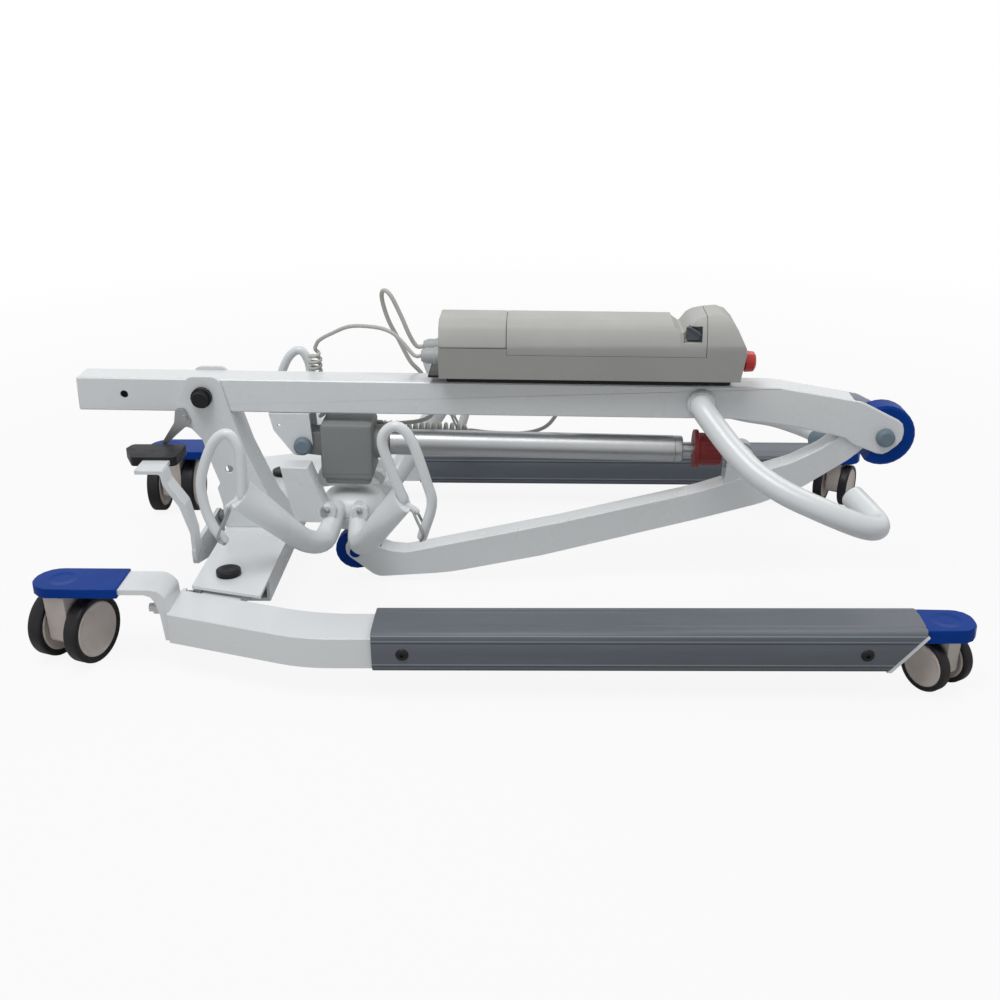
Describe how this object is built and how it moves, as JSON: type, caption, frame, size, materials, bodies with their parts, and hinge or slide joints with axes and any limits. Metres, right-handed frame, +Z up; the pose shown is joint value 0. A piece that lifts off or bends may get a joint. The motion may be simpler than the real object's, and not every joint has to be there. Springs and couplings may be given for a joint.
{
  "type": "electric patient lift",
  "caption": "Folding electric patient lift lying folded flat: low spread legs on casters, mast, boom, linear actuator, control box, handset and a hooked sling spreader",
  "frame": {"origin": "on the floor under the middle of the folded lift, the casters' treads at Z 0", "axes": "X runs from the rear, push side to the front, along the legs; Y from the right leg to the left leg; Z up"},
  "size_m": [1.0471, 0.613, 0.3775],
  "materials": {
    "white_paint": "white powder coat, satin gloss",
    "cream_plastic": "moulded cream plastic, satin",
    "blue_plastic": "moulded dark blue plastic",
    "slate_plastic": "ribbed dark slate plastic",
    "black_plastic": "black plastic",
    "black_rubber": "black tread rubber",
    "grey_plastic": "mid grey moulded plastic",
    "grey_steel": "grey painted rod",
    "bluegrey_plastic": "blue grey plastic caps and plugs",
    "box_plastic": "light warm grey fine-textured plastic",
    "steel": "plated steel",
    "alloy": "anodised tube",
    "red_plastic": "red mushroom button",
    "dark_red_plastic": "dark red collar",
    "cord_jacket": "warm grey cord jacket"
  },
  "bodies": {
    "base": {"crossbar": "white_paint", "mast_bracket": "white_paint", "mast_pivot_pin": "black_plastic", "leg_pivot_bolt_left": "black_plastic", "leg_pivot_bolt_right": "black_plastic"},
    "leg_left": {"leg_left": "white_paint", "leg_cover_left": "slate_plastic", "rear_cap_left": "blue_plastic", "front_cap_left": "blue_plastic"},
    "leg_right": {"leg_right": "white_paint", "leg_cover_right": "slate_plastic", "rear_cap_right": "blue_plastic", "front_cap_right": "blue_plastic"},
    "pedal": {"pedal_lever": "white_paint", "pedal_pad": "black_rubber"},
    "tie_rod_left": {"tie_rod_left": "grey_steel"},
    "tie_rod_right": {"tie_rod_right": "grey_steel"},
    "mast": {"mast": "white_paint", "boom_pivot_pin": "bluegrey_plastic", "actuator_rear_pin": "bluegrey_plastic", "actuator_bracket": "white_paint", "control_box_base": "box_plastic", "control_box_cover": "box_plastic", "control_box_mount": "black_plastic", "push_handle": "white_paint", "handle_plug_left": "bluegrey_plastic", "handle_plug_right": "bluegrey_plastic", "handset": "grey_plastic", "handset_cord": "cord_jacket", "actuator_cord": "cord_jacket", "handset_plug": "bluegrey_plastic", "actuator_plug": "bluegrey_plastic"},
    "lock_lever": {"mast_lock_lever": "steel"},
    "lock_pin": {"mast_lock_pin": "steel"},
    "boom": {"boom": "white_paint", "boom_head_disc": "blue_plastic"},
    "boom_eye": {"swivel_disc": "blue_plastic"},
    "spreader": {"spreader_frame": "white_paint", "spreader_hub": "cream_plastic"},
    "actuator": {"actuator_housing": "grey_plastic", "actuator_tube": "alloy"},
    "actuator_rod": {"actuator_rod": "steel"},
    "collar": {"lowering_collar": "dark_red_plastic"},
    "battery": {"battery_pack": "box_plastic"},
    "battery_latch": {"battery_latch": "black_plastic"},
    "stop_button": {"emergency_stop": "red_plastic"},
    "up_button": {"button_up": "bluegrey_plastic"},
    "down_button": {"button_down": "bluegrey_plastic"},
    "caster_rear_right": {"caster_body_rear_right": "cream_plastic"},
    "wheels_rear_right": {"wheels_rear_right": "black_rubber"},
    "caster_front_right": {"caster_body_front_right": "cream_plastic"},
    "wheels_front_right": {"wheels_front_right": "black_rubber"},
    "caster_rear_left": {"caster_body_rear_left": "cream_plastic"},
    "wheels_rear_left": {"wheels_rear_left": "black_rubber"},
    "caster_front_left": {"caster_body_front_left": "cream_plastic"},
    "wheels_front_left": {"wheels_front_left": "black_rubber"},
    "gate_rear_right": {"hook_gate_rear_right": "steel"},
    "gate_rear_left": {"hook_gate_rear_left": "steel"},
    "gate_front_right": {"hook_gate_front_right": "steel"},
    "gate_front_left": {"hook_gate_front_left": "steel"}
  },
  "joints": [
    {"name": "leg_spread_left", "type": "hinge", "parent": "base", "child": "leg_left", "pos_m": [-0.313, 0.162, 0.08], "axis": [0, 0, 1], "range_deg": [0, 15]},
    {"name": "leg_spread_right", "type": "hinge", "parent": "base", "child": "leg_right", "pos_m": [-0.313, -0.162, 0.08], "axis": [0, 0, -1], "range_deg": [0, 15]},
    {"name": "pedal_rock", "type": "hinge", "parent": "base", "child": "pedal", "pos_m": [-0.3626, 0, 0.06], "axis": [1, 0, 0], "range_deg": [0, 28.31]},
    {"name": "tie_rod_turn_left", "type": "hinge", "parent": "pedal", "child": "tie_rod_left", "pos_m": [-0.3575, 0, 0.085], "axis": [1, 0, 0], "range_deg": [-27.32, 0]},
    {"name": "tie_rod_turn_right", "type": "hinge", "parent": "pedal", "child": "tie_rod_right", "pos_m": [-0.3575, 0, 0.035], "axis": [1, 0, 0], "range_deg": [-27.32, 0]},
    {"name": "swivel_rear_right", "type": "hinge", "parent": "leg_right", "child": "caster_rear_right", "pos_m": [-0.486, -0.2193, 0.06], "axis": [0, 0, 1], "continuous": true},
    {"name": "roll_rear_right", "type": "hinge", "parent": "caster_rear_right", "child": "wheels_rear_right", "pos_m": [-0.48361, -0.21272, 0.04], "axis": [0.9397, -0.342, 0], "continuous": true},
    {"name": "swivel_front_right", "type": "hinge", "parent": "leg_right", "child": "caster_front_right", "pos_m": [0.487, -0.2658, 0.05], "axis": [0, 0, 1], "continuous": true},
    {"name": "roll_front_right", "type": "hinge", "parent": "caster_front_right", "child": "wheels_front_right", "pos_m": [0.48364, -0.26083, 0.03], "axis": [0.829, 0.5592, 0], "continuous": true},
    {"name": "swivel_rear_left", "type": "hinge", "parent": "leg_left", "child": "caster_rear_left", "pos_m": [-0.486, 0.2193, 0.06], "axis": [0, 0, 1], "continuous": true},
    {"name": "roll_rear_left", "type": "hinge", "parent": "caster_rear_left", "child": "wheels_rear_left", "pos_m": [-0.486, 0.2263, 0.04], "axis": [1, 0, 0], "continuous": true},
    {"name": "swivel_front_left", "type": "hinge", "parent": "leg_left", "child": "caster_front_left", "pos_m": [0.487, 0.2658, 0.05], "axis": [0, 0, 1], "continuous": true},
    {"name": "roll_front_left", "type": "hinge", "parent": "caster_front_left", "child": "wheels_front_left", "pos_m": [0.48418, 0.2605, 0.03], "axis": [-0.8829, 0.4695, 0], "continuous": true},
    {"name": "mast_fold", "type": "hinge", "parent": "base", "child": "mast", "pos_m": [-0.362, 0, 0.254], "axis": [0, -1, 0], "range_deg": [0, 105]},
    {"name": "lock_lever_turn", "type": "hinge", "parent": "base", "child": "lock_lever", "pos_m": [-0.386, -0.027, 0.228], "axis": [0, 1, 0], "range_deg": [0, 30]},
    {"name": "lock_pin_pull", "type": "slide", "parent": "base", "child": "lock_pin", "axis": [0, -1, 0], "range_m": [0, 0.012]},
    {"name": "boom_lift", "type": "hinge", "parent": "mast", "child": "boom", "pos_m": [0.47, 0, 0.201], "axis": [0, -1, 0], "range_deg": [0, 32]},
    {"name": "actuator_tilt", "type": "hinge", "parent": "mast", "child": "actuator", "pos_m": [-0.243, 0, 0.19], "axis": [0, 1, 0], "range_deg": [0, 8.28]},
    {"name": "rod_slide", "type": "slide", "parent": "actuator", "child": "actuator_rod", "axis": [0.9997, 0, -0.0239], "range_m": [0, 0.0466]},
    {"name": "lowering_collar_turn", "type": "hinge", "parent": "actuator", "child": "collar", "pos_m": [0.2588, 0, 0.178], "axis": [0.9997, 0, -0.0239], "range_deg": [0, 90]},
    {"name": "boom_eye_pitch", "type": "hinge", "parent": "boom", "child": "boom_eye", "pos_m": [-0.187, 0, 0.042], "axis": [0, -1, 0], "range_deg": [0, 13]},
    {"name": "spreader_swivel", "type": "hinge", "parent": "boom_eye", "child": "spreader", "pos_m": [-0.187, 0, 0.1], "axis": [0, 0, 1], "range_deg": [-14, 30]},
    {"name": "gate_swing_rear_right", "type": "hinge", "parent": "spreader", "child": "gate_rear_right", "pos_m": [-0.30186, -0.16622, 0.169], "axis": [-0.0523, -0.9986, 0], "range_deg": [0, 45], "stiffness_Nm_per_rad": 0.01},
    {"name": "gate_swing_rear_left", "type": "hinge", "parent": "spreader", "child": "gate_rear_left", "pos_m": [-0.28385, 0.17731, 0.169], "axis": [-0.0523, -0.9986, 0], "range_deg": [0, 45], "stiffness_Nm_per_rad": 0.01},
    {"name": "gate_swing_front_right", "type": "hinge", "parent": "spreader", "child": "gate_front_right", "pos_m": [-0.09015, -0.17731, 0.169], "axis": [0.0523, 0.9986, 0], "range_deg": [0, 45], "stiffness_Nm_per_rad": 0.01},
    {"name": "gate_swing_front_left", "type": "hinge", "parent": "spreader", "child": "gate_front_left", "pos_m": [-0.07214, 0.16622, 0.169], "axis": [0.0523, 0.9986, 0], "range_deg": [0, 45], "stiffness_Nm_per_rad": 0.01},
    {"name": "battery_lift", "type": "slide", "parent": "mast", "child": "battery", "axis": [0.014, 0, 0.9999], "range_m": [0, 0.06]},
    {"name": "battery_latch_slide", "type": "slide", "parent": "battery", "child": "battery_latch", "axis": [-0.9999, 0, 0.014], "range_m": [0, 0.003], "stiffness_N_per_m": 150},
    {"name": "stop_push", "type": "slide", "parent": "mast", "child": "stop_button", "axis": [-0.9999, 0, 0.014], "range_m": [0, 0.004], "stiffness_N_per_m": 400},
    {"name": "up_button_press", "type": "slide", "parent": "mast", "child": "up_button", "axis": [0, -1, 0], "range_m": [0, 0.0012], "stiffness_N_per_m": 200},
    {"name": "down_button_press", "type": "slide", "parent": "mast", "child": "down_button", "axis": [0, -1, 0], "range_m": [0, 0.0012], "stiffness_N_per_m": 200}
  ],
  "couplings": [
    {"joint": "leg_spread_right", "follows": "leg_spread_left", "ratio": 1},
    {"joint": "pedal_rock", "follows": "leg_spread_left", "ratio": 1.887},
    {"joint": "tie_rod_turn_left", "follows": "leg_spread_left", "ratio": -1.821},
    {"joint": "tie_rod_turn_right", "follows": "leg_spread_left", "ratio": -1.821},
    {"joint": "boom_lift", "follows": "mast_fold", "ratio": 0.30476},
    {"joint": "actuator_tilt", "follows": "mast_fold", "ratio": 0.07876},
    {"joint": "rod_slide", "follows": "mast_fold", "m_per_rad": 0.02542}
  ]
}
